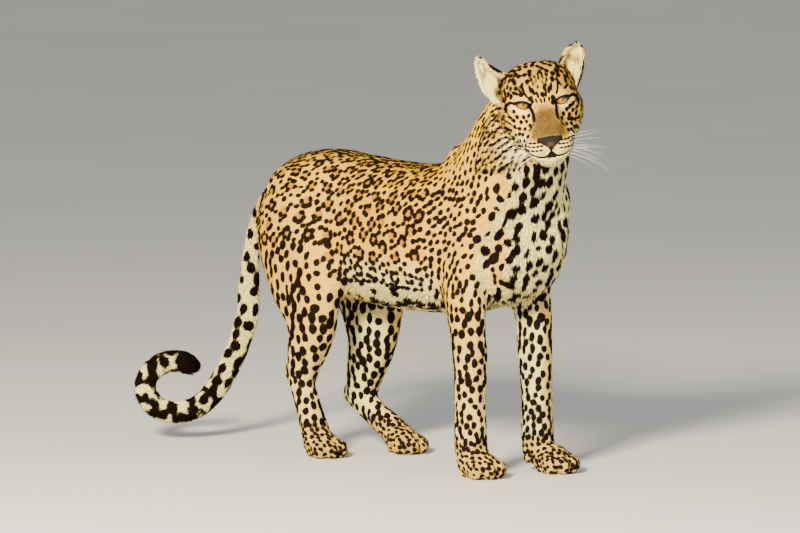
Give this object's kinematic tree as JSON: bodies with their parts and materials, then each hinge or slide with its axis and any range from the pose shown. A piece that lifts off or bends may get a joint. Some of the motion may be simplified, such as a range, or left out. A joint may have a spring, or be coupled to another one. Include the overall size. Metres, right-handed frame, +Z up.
{
  "type": "leopard",
  "caption": "Life-size standing leopard with its head turned to the right and its tail curled up at the end, as a still museum model.",
  "frame": {"origin": "on the floor under the middle of the model's box, between the paws", "axes": "+X from the tail towards the chest, +Y to the animal's left, +Z up"},
  "size_m": [1.1955, 0.3444, 0.8691],
  "materials": {
    "coat": "short fur, tawny with black rosettes, white below",
    "eye": "polished"
  },
  "bodies": {
    "root": {"head": "coat", "neck": "coat", "torso": "coat", "ear_left": "coat", "ear_right": "coat", "eye_left": "eye", "eye_right": "eye", "shoulder_left": "coat", "shoulder_right": "coat", "foreleg_left": "coat", "foreleg_right": "coat", "forepaw_left": "coat", "forepaw_right": "coat", "thigh_left": "coat", "thigh_right": "coat", "shank_left": "coat", "shank_right": "coat", "hindpaw_left": "coat", "hindpaw_right": "coat", "tail_1": "coat", "tail_2": "coat", "tail_3": "coat", "tail_4": "coat", "tail_5": "coat", "tail_6": "coat", "tail_7": "coat"}
  },
  "joints": []
}
